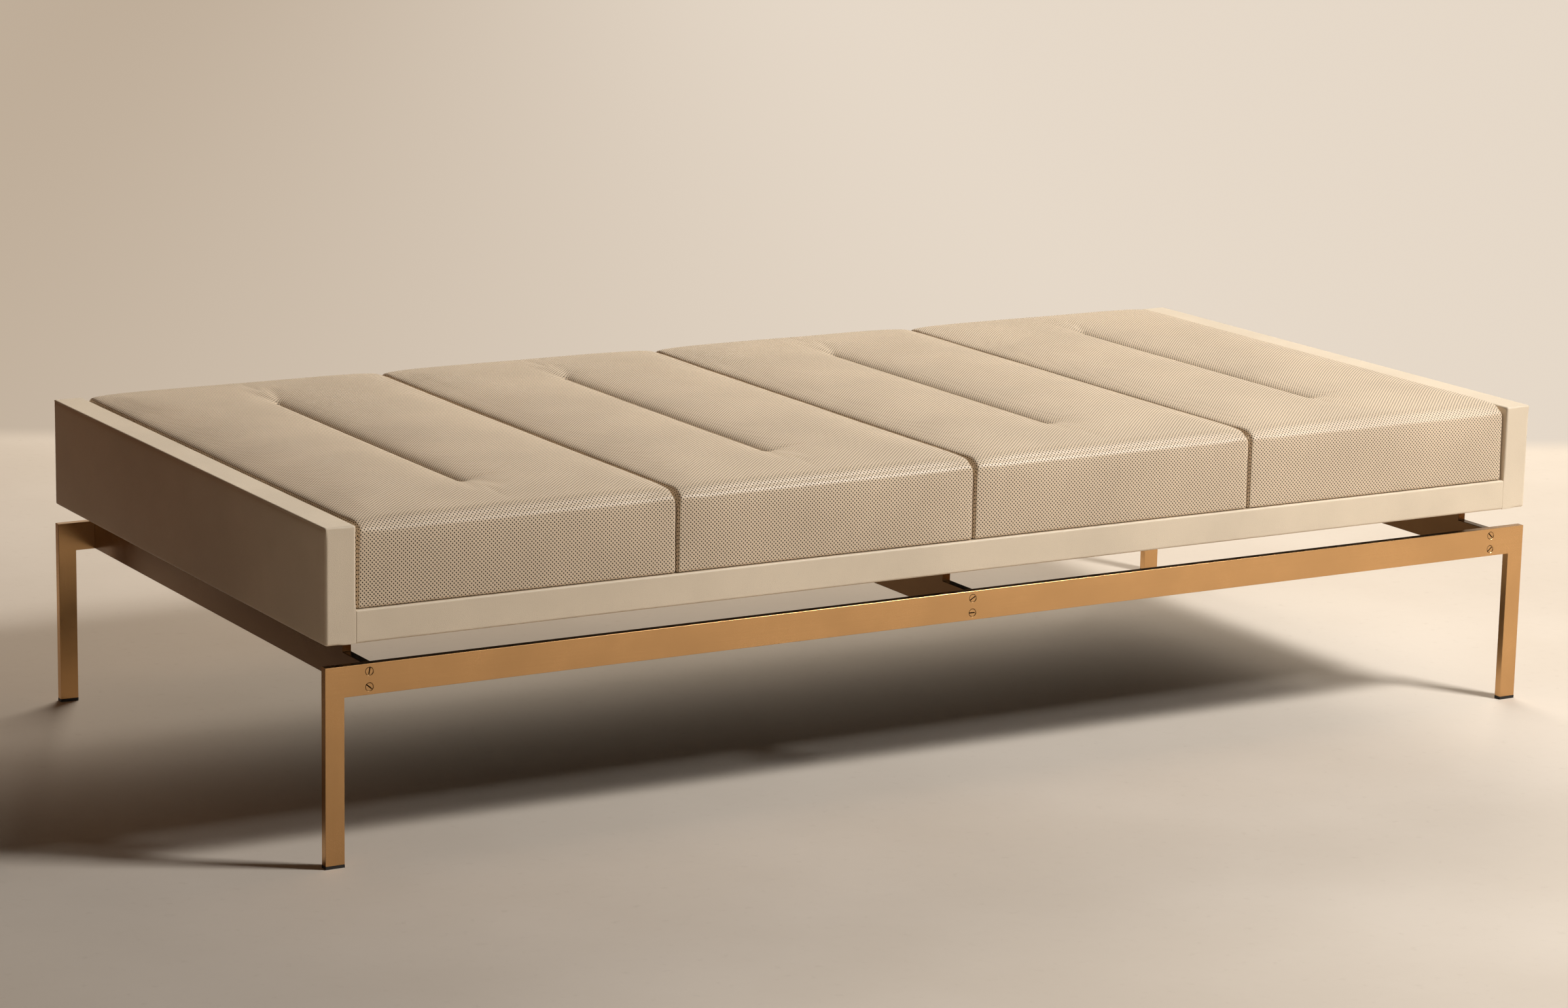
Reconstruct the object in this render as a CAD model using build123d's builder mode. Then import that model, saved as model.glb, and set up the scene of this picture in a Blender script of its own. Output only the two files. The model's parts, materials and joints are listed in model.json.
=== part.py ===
from build123d import *
import os
from math import cos, radians, sqrt

# A low backless daybed. Four lift-out cushions lie in an upholstered tray with raised ends,
# and a frame of flat metal bar on four straight legs carries the tray.
# The origin is on the floor under the middle, +X runs along the length, the front faces -Y
# and +Z is up. All sizes are in millimetres.

# Overall sizes
overall_length = 1900.0
overall_depth = 915.0

# Metal frame
rail_top_height = 259.0
rail_height = 40.0
bar_thickness = 12.0
bar_edge_round = 0.6
leg_width = 26.0
plate_thickness = 12.0
plate_end_inset = 60.0
web_setback = 67.0
shadow_gap = 27.0
glide_thickness = 4.0
glide_peg_diameter = 6.0
glide_peg_length = 14.0

# Slotted countersunk screws that hold the side frames to the cross plates
frame_screw_diameter = 6.0
frame_screw_head_diameter = 11.0
frame_screw_length = 30.0
frame_screw_spacing = 20.0
frame_screw_recess = 0.5
screw_slot_width = 1.6
screw_slot_depth = 1.4
screw_slot_angles = (-40.0, 80.0, 0.0, 30.0, 40.0, -45.0)

# Tray panels: timber cores under leather
end_panel_height = 150.0
end_panel_thickness = 42.0
base_panel_thickness = 43.0
leather_thickness = 2.0
core_edge_round = 3.0
base_skin_thickness = 9.0
base_rib_width = 45.0
base_rib_columns = 4
base_rib_rows = 2
tongue_inset = 25.0
dust_cloth_thickness = 0.8
dust_cloth_inset = 15.0

# Joints between the end panels and the base panel
joint_screw_diameter = 7.0
joint_screw_head_diameter = 12.0
joint_screw_length = 75.0
joint_screw_places = (-400.0, -150.0, 150.0, 400.0)
dowel_diameter = 10.0
dowel_length = 50.0
dowel_depth_in_end = 20.0
dowel_places = (-220.0, 220.0)

# Bolts that hold the tray down on the cross plates
tray_bolt_diameter = 6.0
tray_bolt_head_diameter = 10.5
tray_bolt_head_height = 3.5
tray_bolt_engagement = 18.0
tray_bolt_spread = 300.0
washer_diameter = 18.0
washer_thickness = 1.6
washer_access_diameter = 22.0

# Cushions
cushion_names = ("left", "inner_left", "inner_right", "right")
cushion_gap = 1.6
cushion_front_setback = 3.0
cushion_edge_height = 110.0
cushion_end_crown = 113.0
cushion_middle_crown = 119.0
cushion_front_round = 22.0
cushion_corner_round = 8.0
cushion_lower_round = 8.0
cushion_side_round = 16.0
cushion_draw_in = 3.0
cover_thickness = 1.5
cover_turn_under = 40.0
board_thickness = 9.0
lining_thickness = 0.5

# Sewn channel that runs along the middle of each cushion's top
channel_length = 580.0
channel_ramp = 50.0
channel_half_width = 24.0
channel_floor_height = 101.0
channel_crest_fall = 5.0
channel_pillow_bulge = 7.0
channel_flank_bulge = 2.3
pull_strip_thickness = 1.5

# Touch-fastener strips under each cushion
strip_length = 300.0
strip_width = 25.0
strip_spread = 300.0

# Clearances
shank_clearance = 0.3
thread_clearance = 0.05
drill_allowance = 3.0
tongue_clearance = 0.3
foam_clearance = 0.4
strip_clearance = 0.4

# Places that follow from the sizes
half_length = overall_length / 2
half_depth = overall_depth / 2
edge_round = core_edge_round + leather_thickness
rail_bottom = rail_top_height - rail_height
rail_middle = rail_top_height - rail_height / 2
plate_end = half_depth - bar_thickness
plate_places = (plate_end_inset - half_length, 0.0, half_length - plate_end_inset)
tray_bottom = rail_top_height + shadow_gap
web_top = tray_bottom - dust_cloth_thickness
base_top = tray_bottom + base_panel_thickness
base_middle = tray_bottom + base_panel_thickness / 2
core_bottom = tray_bottom + leather_thickness
core_top = base_top - leather_thickness
rib_bottom = core_bottom + base_skin_thickness
rib_top = core_top - base_skin_thickness
end_inner = half_length - end_panel_thickness
end_core_inner = end_inner + leather_thickness
end_core_outer = half_length - leather_thickness
end_core_thickness = end_core_outer - end_core_inner
tongue_half = half_depth - tongue_inset
quarter_sagitta = 1 - 1 / sqrt(2)
bolt_places = [(x, y) for x in plate_places for y in (-tray_bolt_spread, 0.0, tray_bolt_spread)]
cushion_pitch = 2 * end_inner / len(cushion_names)
cushion_width = cushion_pitch - cushion_gap
cushion_depth = overall_depth - 2 * cushion_front_setback
cushion_centres = [cushion_pitch * (i + 0.5) - end_inner for i in range(len(cushion_names))]
board_width = cushion_width - 2 * cushion_lower_round
board_depth = cushion_depth - 2 * cushion_front_round
board_bottom = base_top + cover_thickness
board_top = board_bottom + board_thickness
opening_width = cushion_width - 2 * cover_turn_under
opening_depth = cushion_depth - 2 * cover_turn_under
pull_strip_length = channel_length - 2 * channel_ramp
pull_strip_top = base_top + channel_floor_height - cover_thickness - foam_clearance

os.makedirs("parts", exist_ok=True)


def save(built, label):
    """Names a finished piece and writes it to its own file."""
    built.part.label = label
    export_step(built.part, f"parts/{label}.step")


# Frame screws and the places where they go
def outer_face(side):
    """Plane on the outside of the front (-1) or rear (1) side frame, with its Y upward."""
    return Plane(origin=(0, side * half_depth, 0), x_dir=(-side, 0, 0), z_dir=(0, side, 0))


def frame_screw_places(side):
    """Places of the paired frame screws on one side frame, each turned by its own slot angle."""
    heights = (rail_middle - frame_screw_spacing / 2, rail_middle + frame_screw_spacing / 2)
    points = [(x, height) for x in plate_places for height in heights]
    face = outer_face(side).location
    return [face * Location((*point, 0), (0, 0, turn)) for point, turn in zip(points, screw_slot_angles)]


def countersunk_profile(head_radius, shank_radius, top, length):
    """Half outline of a countersunk screw with a right-angled head cone."""
    with BuildLine() as outline:
        Polyline(
            (0, top),
            (head_radius, top),
            (shank_radius, top - head_radius + shank_radius),
            (shank_radius, -length),
            (0, -length),
            close=True,
        )
    make_face(outline.edges())


screw_head_radius = frame_screw_head_diameter / 2
screw_shank_radius = frame_screw_diameter / 2

with BuildPart() as frame_screw:
    with BuildSketch(Plane.XZ):
        countersunk_profile(screw_head_radius, screw_shank_radius, -frame_screw_recess, frame_screw_length)
    revolve(axis=Axis.Z)
    with BuildSketch(Plane.XY.offset(-frame_screw_recess)):
        Rectangle(frame_screw_head_diameter, screw_slot_width)
    extrude(amount=-screw_slot_depth, mode=Mode.SUBTRACT)

for side, name in ((-1, "front"), (1, "rear")):
    with BuildPart() as frame_screws:
        with Locations(*frame_screw_places(side)):
            add(frame_screw.part)
    save(frame_screws, f"{name}_frame_screws")

# Side frames: a rail and two legs of flat bar, welded and ground flush
leg_centre_x = half_length - leg_width / 2
leg_centre_y = half_depth - bar_thickness / 2
peg_hole_radius = glide_peg_diameter / 2 + thread_clearance

for side, name in ((-1, "front"), (1, "rear")):
    with BuildPart() as side_frame:
        with BuildSketch(outer_face(side)):
            with Locations((0, (glide_thickness + rail_top_height) / 2)):
                Rectangle(overall_length, rail_top_height - glide_thickness)
            with Locations((0, (glide_thickness + rail_bottom) / 2)):
                Rectangle(overall_length - 2 * leg_width, rail_bottom - glide_thickness, mode=Mode.SUBTRACT)
        extrude(amount=-bar_thickness)
        fillet(side_frame.edges(), bar_edge_round)
        with Locations(*frame_screw_places(side)):
            CounterSinkHole(
                radius=screw_shank_radius + shank_clearance,
                counter_sink_radius=screw_head_radius + frame_screw_recess,
                depth=bar_thickness,
                counter_sink_angle=90,
            )
        with BuildSketch(Plane.XY.offset(glide_thickness)):
            with Locations((-leg_centre_x, side * leg_centre_y), (leg_centre_x, side * leg_centre_y)):
                Circle(peg_hole_radius)
        extrude(amount=glide_peg_length + drill_allowance, mode=Mode.SUBTRACT)
    save(side_frame, f"{name}_side_frame")

# Glides under the legs, each with a peg pressed into the leg's end
for side, side_name in ((-1, "front"), (1, "rear")):
    for end, end_name in ((-1, "left"), (1, "right")):
        with BuildPart() as glide:
            with BuildSketch(Plane.XY):
                with Locations((end * leg_centre_x, side * leg_centre_y)):
                    Rectangle(leg_width, bar_thickness)
            extrude(amount=glide_thickness)
            with BuildSketch(Plane.XY.offset(glide_thickness)):
                with Locations((end * leg_centre_x, side * leg_centre_y)):
                    Circle(glide_peg_diameter / 2)
            extrude(amount=glide_peg_length)
        save(glide, f"{side_name}_{end_name}_glide")

# Cross plates: flush with the rails at their ends, stepped up in between to carry the tray
frame_thread_depth = frame_screw_length - bar_thickness + drill_allowance
bolt_radius = tray_bolt_diameter / 2
web_half = half_depth - web_setback

for centre, name in zip(plate_places, ("left", "middle", "right")):
    with BuildPart() as cross_plate:
        with BuildSketch(Plane.YZ.offset(centre)):
            with Locations((0, rail_middle)):
                Rectangle(2 * plate_end, rail_height)
            with Locations((0, (rail_bottom + web_top) / 2)):
                Rectangle(2 * web_half, web_top - rail_bottom)
        extrude(amount=plate_thickness / 2, both=True)
        fillet(cross_plate.edges(), bar_edge_round)
        for side in (-1, 1):
            with BuildSketch(outer_face(side).offset(-bar_thickness)):
                with Locations((-side * centre, rail_middle)):
                    with GridLocations(0, frame_screw_spacing, 1, 2):
                        Circle(screw_shank_radius + thread_clearance)
            extrude(amount=-frame_thread_depth, mode=Mode.SUBTRACT)
        with BuildSketch(Plane.XY.offset(web_top)):
            with Locations(*[(x, y) for x, y in bolt_places if x == centre]):
                Circle(bolt_radius + thread_clearance)
        extrude(amount=-tray_bolt_engagement - drill_allowance, mode=Mode.SUBTRACT)
    save(cross_plate, f"{name}_cross_plate")

# Tray bolts and washers, sunk below the tray's floor
bolt_seat = rib_top + washer_thickness
bolt_tip = web_top - tray_bolt_engagement

with BuildPart() as tray_washers:
    with BuildSketch(Plane.XY.offset(rib_top)):
        with Locations(*bolt_places):
            Circle(washer_diameter / 2)
            Circle(bolt_radius + shank_clearance, mode=Mode.SUBTRACT)
    extrude(amount=washer_thickness)
save(tray_washers, "tray_washers")

with BuildPart() as tray_bolts:
    with BuildSketch(Plane.XY.offset(bolt_seat)):
        with Locations(*bolt_places):
            Circle(tray_bolt_head_diameter / 2)
    extrude(amount=tray_bolt_head_height)
    with BuildSketch(Plane.XY.offset(bolt_seat)):
        with Locations(*bolt_places):
            Circle(bolt_radius)
    extrude(amount=bolt_tip - bolt_seat)
save(tray_bolts, "tray_bolts")


# Base panel: a ribbed timber frame between two skins, in a leather sleeve
def base_section(inset):
    """Rounded section of the base panel, drawn in by the inset on every side."""
    with Locations((0, base_middle)):
        RectangleRounded(overall_depth - 2 * inset, base_panel_thickness - 2 * inset, edge_round - inset)


def bolt_holes(level, height, radius):
    """Cuts the holes for the tray bolts through one layer."""
    with BuildSketch(Plane.XY.offset(level)) as holes:
        with Locations(*bolt_places):
            Circle(radius)
    extrude(holes.sketch, amount=height, mode=Mode.SUBTRACT)


bolt_hole_radius = bolt_radius + shank_clearance
access_radius = washer_access_diameter / 2
skins = (
    ("base_lower_skin", core_bottom, bolt_hole_radius),
    ("base_upper_skin", rib_top, access_radius),
)

for name, level, hole_radius in skins:
    with BuildPart() as base_skin:
        with BuildSketch(Plane.YZ):
            base_section(leather_thickness)
            with Locations((0, level + base_skin_thickness / 2)):
                Rectangle(overall_depth, base_skin_thickness, mode=Mode.INTERSECT)
        extrude(amount=end_inner, both=True)
        bolt_holes(level, base_skin_thickness, hole_radius)
    save(base_skin, name)

rib_depth = overall_depth - 2 * leather_thickness
pocket_pitch_x = (2 * end_inner - base_rib_width) / base_rib_columns
pocket_pitch_y = (rib_depth - base_rib_width) / base_rib_rows
rib_thread_end = end_core_outer - joint_screw_length - drill_allowance
dowel_outer = end_core_inner + dowel_depth_in_end
dowel_inner = dowel_outer - dowel_length

with BuildPart() as base_ribs:
    with BuildSketch(Plane.XY.offset(rib_bottom)):
        Rectangle(2 * end_inner, rib_depth)
        Rectangle(2 * end_core_inner, 2 * tongue_half)
        with GridLocations(pocket_pitch_x, pocket_pitch_y, base_rib_columns, base_rib_rows):
            Rectangle(pocket_pitch_x - base_rib_width, pocket_pitch_y - base_rib_width, mode=Mode.SUBTRACT)
    extrude(amount=rib_top - rib_bottom)
    bolt_holes(rib_bottom, rib_top - rib_bottom, bolt_hole_radius)
    for side in (-1, 1):
        with BuildSketch(Plane.YZ.offset(side * end_core_inner)):
            with Locations(*[(y, base_middle) for y in joint_screw_places]):
                Circle(joint_screw_diameter / 2 + thread_clearance)
        extrude(amount=side * (rib_thread_end - end_core_inner), mode=Mode.SUBTRACT)
        with BuildSketch(Plane.YZ.offset(side * end_core_inner)):
            with Locations(*[(y, base_middle) for y in dowel_places]):
                Circle(dowel_diameter / 2 + thread_clearance)
        extrude(amount=side * (dowel_inner - end_core_inner), mode=Mode.SUBTRACT)
save(base_ribs, "base_ribs")

strip_places = [(x, y) for x in cushion_centres for y in (-strip_spread, strip_spread)]

with BuildPart() as base_cover:
    with BuildSketch(Plane.YZ):
        base_section(0)
        with Locations((0, base_middle)):
            RectangleRounded(
                rib_depth,
                base_panel_thickness - 2 * leather_thickness,
                core_edge_round,
                mode=Mode.SUBTRACT,
            )
    extrude(amount=end_inner, both=True)
    bolt_holes(tray_bottom, leather_thickness, bolt_hole_radius)
    bolt_holes(core_top, leather_thickness, access_radius)
    with BuildSketch(Plane.XY.offset(core_top)):
        with Locations(*strip_places):
            Rectangle(strip_length + 2 * strip_clearance, strip_width + 2 * strip_clearance)
    extrude(amount=leather_thickness, mode=Mode.SUBTRACT)
save(base_cover, "base_cover")

with BuildPart() as hook_strips:
    with BuildSketch(Plane.XY.offset(core_top)):
        with Locations(*strip_places):
            Rectangle(strip_length, strip_width)
    extrude(amount=leather_thickness)
save(hook_strips, "hook_strips")

with BuildPart() as dust_cloth:
    with BuildSketch(Plane.XY.offset(web_top)):
        Rectangle(overall_length - 2 * dust_cloth_inset, overall_depth - 2 * dust_cloth_inset)
    extrude(amount=dust_cloth_thickness)
    bolt_holes(web_top, dust_cloth_thickness, bolt_hole_radius)
save(dust_cloth, "dust_cloth")


# End panels: timber cores in leather covers that are open where the base panel's tongue enters
def end_block(side, inset):
    """Rounded end panel, drawn in by the inset on every side."""
    with BuildPart() as block:
        with BuildSketch(Plane.YZ.offset(side * (half_length - end_panel_thickness / 2))):
            with Locations((0, tray_bottom + end_panel_height / 2)):
                Rectangle(overall_depth - 2 * inset, end_panel_height - 2 * inset)
        extrude(amount=end_panel_thickness / 2 - inset, both=True)
        fillet(block.edges(), edge_round - inset)
    return block.part


joint_head_radius = joint_screw_head_diameter / 2
joint_shank_radius = joint_screw_diameter / 2

with BuildPart() as joint_screw:
    with BuildSketch(Plane.XZ):
        countersunk_profile(joint_head_radius, joint_shank_radius, 0, joint_screw_length)
    revolve(axis=Axis.Z)

for side, name in ((-1, "left"), (1, "right")):
    core_block = end_block(side, leather_thickness)
    cover_block = end_block(side, 0)
    core_face = Plane(origin=(side * end_core_outer, 0, 0), x_dir=(0, side, 0), z_dir=(side, 0, 0))
    screw_places = [core_face.location * Location((side * y, base_middle, 0)) for y in joint_screw_places]

    with BuildPart() as end_cover:
        add(cover_block)
        add(core_block, mode=Mode.SUBTRACT)
        with BuildSketch(Plane.YZ.offset(side * end_inner)):
            with Locations((0, base_middle)):
                Rectangle(
                    2 * (tongue_half + tongue_clearance),
                    rib_top - rib_bottom + 2 * tongue_clearance,
                )
        extrude(amount=side * leather_thickness, mode=Mode.SUBTRACT)
    save(end_cover, f"{name}_end_cover")

    with BuildPart() as end_core:
        add(core_block)
        with Locations(*screw_places):
            CounterSinkHole(
                radius=joint_shank_radius + shank_clearance,
                counter_sink_radius=joint_head_radius,
                depth=end_core_thickness,
                counter_sink_angle=90,
            )
        with BuildSketch(Plane.YZ.offset(side * end_core_inner)):
            with Locations(*[(y, base_middle) for y in dowel_places]):
                Circle(dowel_diameter / 2 + thread_clearance)
        extrude(amount=side * dowel_depth_in_end, mode=Mode.SUBTRACT)
    save(end_core, f"{name}_end_core")

    with BuildPart() as joint_screws:
        with Locations(*screw_places):
            add(joint_screw.part)
    save(joint_screws, f"{name}_joint_screws")

    with BuildPart() as dowels:
        with BuildSketch(Plane.YZ.offset(side * dowel_inner)):
            with Locations(*[(y, base_middle) for y in dowel_places]):
                Circle(dowel_diameter / 2)
        extrude(amount=side * dowel_length)
    save(dowels, f"{name}_dowels")


# Cushion form: a crowned block with drawn-in sides and a blind channel, lofted from front to back
def rounding_drop(radius, reach):
    """How far a rounded edge has fallen away at a given reach from the face it rounds into."""
    return radius - sqrt(radius**2 - (radius - min(reach, radius)) ** 2)


def cushion_section(inset, y):
    """Outline of the cushion across its width at one place along its depth."""
    reach = max(cushion_depth / 2 - inset - abs(y), 0.0)
    top_drop = rounding_drop(cushion_front_round - inset, reach)
    lower_round = cushion_lower_round - inset
    side_round = cushion_side_round - inset
    half_width = cushion_width / 2 - inset - rounding_drop(cushion_corner_round - inset, reach)
    bottom = base_top + inset + rounding_drop(lower_round, reach)
    edge = base_top + cushion_edge_height - inset - top_drop
    crown_gain = (cushion_middle_crown - cushion_end_crown) * (1 - (2 * y / cushion_depth) ** 2)
    crown = base_top + cushion_end_crown + crown_gain - inset - top_drop
    span = half_width - side_round

    if abs(y) <= channel_length / 2 - channel_ramp:
        crest = crown - channel_crest_fall
        floor = base_top + channel_floor_height - inset
        pillow_bulge = channel_pillow_bulge
        flank_bulge = channel_flank_bulge
    else:
        rise = (crown - edge) / span**2
        crest = crown - rise * channel_half_width**2
        floor = crown
        pillow_bulge = rise * ((span - channel_half_width) / 2) ** 2
        flank_bulge = rise * (channel_half_width / 2) ** 2

    right_points = (
        (half_width - lower_round, bottom),
        (half_width, bottom + lower_round),
        (half_width, edge - side_round),
        (half_width - side_round, edge),
        (channel_half_width, crest),
        (0, floor),
    )
    left_points = [(-x, z) for x, z in reversed(right_points[:-1])]
    bulges = (
        -quarter_sagitta * lower_round,
        cushion_draw_in,
        -quarter_sagitta * side_round,
        -pillow_bulge,
        -flank_bulge,
    )
    points = [*right_points, *left_points]
    with BuildLine() as outline:
        for start, end, bulge in zip(points, points[1:], [*bulges, *reversed(bulges)]):
            SagittaArc(start, end, bulge)
        Line(points[-1], points[0])
    make_face(outline.edges())


def cushion_form(inset):
    """Whole cushion about the middle of the daybed, drawn in by the inset on every side."""
    front_radius = cushion_front_round - inset
    face_distance = cushion_depth / 2 - inset
    turns = [face_distance - front_radius * (1 - cos(radians(angle))) for angle in (0, 30, 60, 90)]
    rear_places = [0.0, channel_length / 2 - channel_ramp, channel_length / 2, *reversed(turns)]
    places = [-place for place in reversed(rear_places[1:])] + rear_places
    with BuildPart() as form:
        for y in places:
            with BuildSketch(Plane.XZ.offset(-y)):
                cushion_section(inset, y)
        loft(ruled=True)
    return form.part


def at_cushion(shape, centre):
    """A copy of a shape made about the middle, moved to one cushion's place."""
    return shape.moved(Location((centre, 0, 0)))


outer_form = cushion_form(0)
inner_form = cushion_form(cover_thickness)
foam_form = cushion_form(cover_thickness + foam_clearance)
slit_thickness = pull_strip_thickness + 2 * strip_clearance
slit_length = pull_strip_length + 2 * strip_clearance

with BuildPart() as cover_form:
    add(outer_form)
    add(inner_form, mode=Mode.SUBTRACT)
    with BuildSketch(Plane.XY.offset(base_top)):
        Rectangle(opening_width, opening_depth)
    extrude(amount=cover_thickness, mode=Mode.SUBTRACT)

with BuildPart() as foam_block:
    add(foam_form)
    with BuildSketch(Plane.XY.offset(base_top)):
        Rectangle(cushion_pitch, overall_depth)
    extrude(amount=board_top - base_top, mode=Mode.SUBTRACT)
    with BuildSketch(Plane.XY.offset(board_top)):
        Rectangle(slit_thickness, slit_length)
    extrude(amount=cushion_middle_crown, mode=Mode.SUBTRACT)

for centre, name in zip(cushion_centres, cushion_names):
    with BuildPart() as cushion_cover:
        add(at_cushion(cover_form.part, centre))
    save(cushion_cover, f"{name}_cushion_cover")

    with BuildPart() as cushion_foam:
        add(at_cushion(foam_block.part, centre))
    save(cushion_foam, f"{name}_cushion_foam")

    with BuildPart() as cushion_board:
        with BuildSketch(Plane.XY.offset(board_bottom)):
            with Locations((centre, 0)):
                Rectangle(board_width, board_depth)
        extrude(amount=board_thickness)
    save(cushion_board, f"{name}_cushion_board")

    with BuildPart() as pull_strip:
        with BuildSketch(Plane.XY.offset(board_top)):
            with Locations((centre, 0)):
                Rectangle(pull_strip_thickness, pull_strip_length)
        extrude(amount=pull_strip_top - board_top)
    save(pull_strip, f"{name}_cushion_pull_strip")

    with BuildPart() as cushion_lining:
        with BuildSketch(Plane.XY.offset(board_bottom)):
            with Locations((centre, 0)):
                Rectangle(opening_width - 2 * strip_clearance, opening_depth - 2 * strip_clearance)
        extrude(amount=-lining_thickness)
    save(cushion_lining, f"{name}_cushion_lining")

    with BuildPart() as loop_strips:
        with BuildSketch(Plane.XY.offset(base_top)):
            with Locations((centre, -strip_spread), (centre, strip_spread)):
                Rectangle(strip_length, strip_width)
        extrude(amount=cover_thickness - lining_thickness)
    save(loop_strips, f"{name}_cushion_loop_strips")
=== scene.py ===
import json
import math

import bpy
import numpy as np
from mathutils import Matrix, Vector, noise


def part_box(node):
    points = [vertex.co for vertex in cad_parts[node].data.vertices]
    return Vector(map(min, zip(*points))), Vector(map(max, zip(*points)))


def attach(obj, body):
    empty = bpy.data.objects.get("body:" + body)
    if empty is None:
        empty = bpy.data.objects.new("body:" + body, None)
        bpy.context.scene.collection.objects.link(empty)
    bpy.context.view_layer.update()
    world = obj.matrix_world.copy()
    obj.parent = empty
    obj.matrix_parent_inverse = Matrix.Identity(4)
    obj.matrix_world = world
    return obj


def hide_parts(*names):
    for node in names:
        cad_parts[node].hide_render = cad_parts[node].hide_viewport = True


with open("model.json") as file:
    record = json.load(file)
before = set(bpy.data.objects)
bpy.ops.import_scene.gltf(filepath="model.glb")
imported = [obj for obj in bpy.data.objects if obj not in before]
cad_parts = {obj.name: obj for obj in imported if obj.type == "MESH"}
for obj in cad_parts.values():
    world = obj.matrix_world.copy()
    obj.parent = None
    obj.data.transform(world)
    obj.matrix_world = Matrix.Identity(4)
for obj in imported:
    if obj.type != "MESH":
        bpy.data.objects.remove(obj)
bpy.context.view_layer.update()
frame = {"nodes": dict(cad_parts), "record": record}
scene = bpy.context.scene
mm = 0.001


# Materials: a small helper, then one function for each kind of surface

class Finish:
    """A material made of nodes, with short ways to add them."""

    def __init__(self, name, metallic=0.0, specular=0.5):
        self.material = bpy.data.materials.new(name)
        self.material.use_nodes = True
        self.nodes = self.material.node_tree.nodes
        self.links = self.material.node_tree.links
        self.shader = self.nodes["Principled BSDF"]
        self.shader.inputs["Metallic"].default_value = metallic
        self.shader.inputs["Specular IOR Level"].default_value = specular
        self.place = self.nodes.new("ShaderNodeTexCoord")

    def feed(self, socket, value):
        """Links an output to an input, or sets a plain value on it."""
        if isinstance(value, bpy.types.NodeSocket):
            self.links.new(value, socket)
        else:
            socket.default_value = value

    def math(self, operation, first, second=0.0):
        node = self.nodes.new("ShaderNodeMath")
        node.operation = operation
        self.feed(node.inputs[0], first)
        self.feed(node.inputs[1], second)
        return node.outputs[0]

    def gap(self, first, second):
        """How far apart two values are."""
        return self.math("ABSOLUTE", self.math("SUBTRACT", first, second))

    def length(self, first, second):
        """The length of a flat vector, from its two parts."""
        squares = [self.math("MULTIPLY", part, part) for part in (first, second)]
        return self.math("SQRT", self.math("ADD", squares[0], squares[1]))

    def axes(self, vector):
        """The parts of a vector along X, Y and Z."""
        node = self.nodes.new("ShaderNodeSeparateXYZ")
        self.links.new(vector, node.inputs[0])
        return node.outputs

    def stretched(self, *scale):
        """The object's own coordinates in metres, multiplied along each axis."""
        node = self.nodes.new("ShaderNodeVectorMath")
        node.operation = "MULTIPLY"
        self.feed(node.inputs[0], self.place.outputs["Object"])
        node.inputs[1].default_value = scale
        return node.outputs[0]

    def noise(self, vector, scale, detail=2.0):
        node = self.nodes.new("ShaderNodeTexNoise")
        self.feed(node.inputs["Vector"], vector)
        node.inputs["Scale"].default_value = scale
        node.inputs["Detail"].default_value = detail
        return node.outputs[0]

    def cells(self, vector, scale):
        """How far a point is from the nearest border between cells."""
        node = self.nodes.new("ShaderNodeTexVoronoi")
        node.feature = "DISTANCE_TO_EDGE"
        self.feed(node.inputs["Vector"], vector)
        node.inputs["Scale"].default_value = scale
        return node.outputs[0]

    def ramp(self, value, low, high, to_low=0.0, to_high=1.0):
        """A smooth step from one value to another."""
        node = self.nodes.new("ShaderNodeMapRange")
        node.interpolation_type = "SMOOTHSTEP"
        self.feed(node.inputs["Value"], value)
        node.inputs["From Min"].default_value = low
        node.inputs["From Max"].default_value = high
        node.inputs["To Min"].default_value = to_low
        node.inputs["To Max"].default_value = to_high
        return node.outputs[0]

    def blend(self, factor, first, second):
        node = self.nodes.new("ShaderNodeMix")
        node.data_type = "RGBA"
        self.feed(node.inputs[0], factor)
        self.feed(node.inputs[6], first)
        self.feed(node.inputs[7], second)
        return node.outputs[2]

    def bump(self, height, distance, strength=1.0, under=None):
        node = self.nodes.new("ShaderNodeBump")
        node.inputs["Strength"].default_value = strength
        node.inputs["Distance"].default_value = distance
        self.feed(node.inputs["Height"], height)
        if under is not None:
            self.links.new(under, node.inputs["Normal"])
        return node.outputs[0]

    def finish(self, colour, roughness, normal):
        self.links.new(colour, self.shader.inputs["Base Color"])
        self.links.new(roughness, self.shader.inputs["Roughness"])
        self.links.new(normal, self.shader.inputs["Normal"])
        return self.material


def shade(colour, factor):
    """A colour made darker or lighter, with its alpha."""
    return tuple(factor * part for part in colour) + (1.0,)


leather_colour = (0.775, 0.655, 0.5)
perforated_colour = (0.78, 0.627, 0.457)
leather_sheen = 0.5
hole_pitch = 3.82 * mm
hole_radius = 0.93 * mm
# Painted shade: the perforations are coloured near black for the shade inside the holes.
hole_shade_colour = (0.004, 0.003, 0.002, 1.0)


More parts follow.
